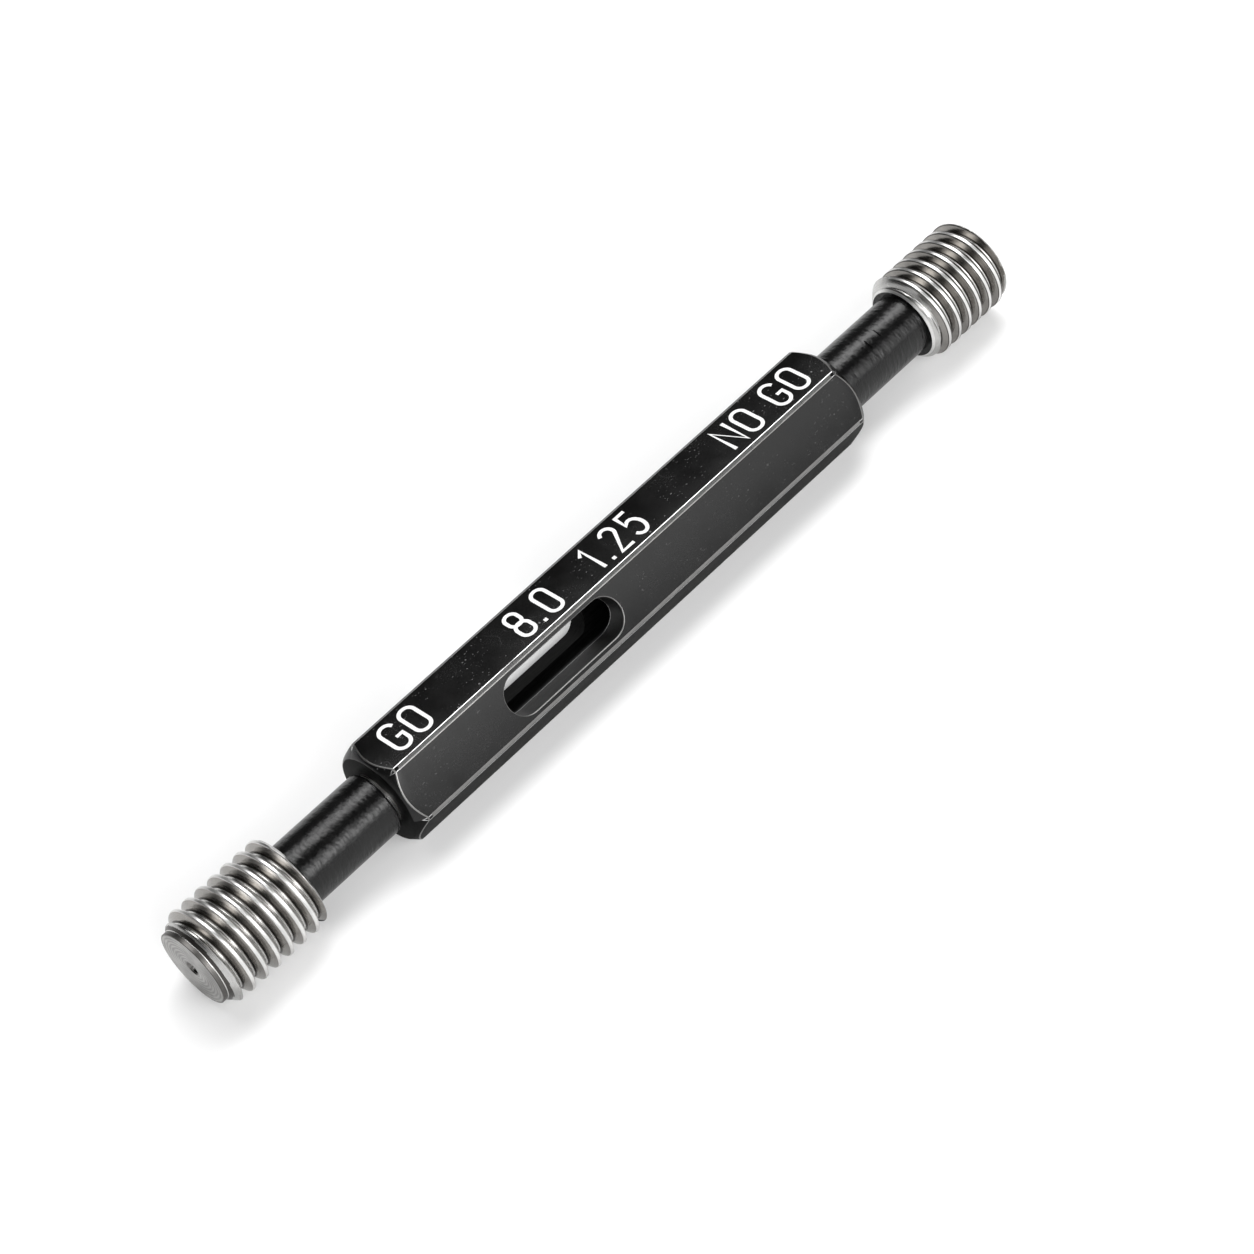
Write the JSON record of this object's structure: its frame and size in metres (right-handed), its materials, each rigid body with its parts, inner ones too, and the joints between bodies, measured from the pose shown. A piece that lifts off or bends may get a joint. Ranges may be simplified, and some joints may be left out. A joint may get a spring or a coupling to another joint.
{
  "type": "thread plug gauge",
  "caption": "Double-ended thread plug gauge: a hexagonal handle with a drift slot, a go thread plug at one end and a shorter no-go thread plug at the other.",
  "frame": {"origin": "on the gauge's axis, at the middle of its length", "axes": "+X along the axis, from the go end to the no-go end; +Z is the outward normal of the marked flat of the hexagonal handle; the gauge lies on the flat at -Z"},
  "size_m": [0.086, 0.009, 0.008],
  "materials": {
    "handle_steel": "black oxide over fine grinding, satin",
    "gauge_steel": "ground and lapped tool steel, with black oxide on the necks"
  },
  "bodies": {
    "root": {"handle": "handle_steel", "go_member": "gauge_steel", "no_go_member": "gauge_steel"}
  },
  "joints": []
}
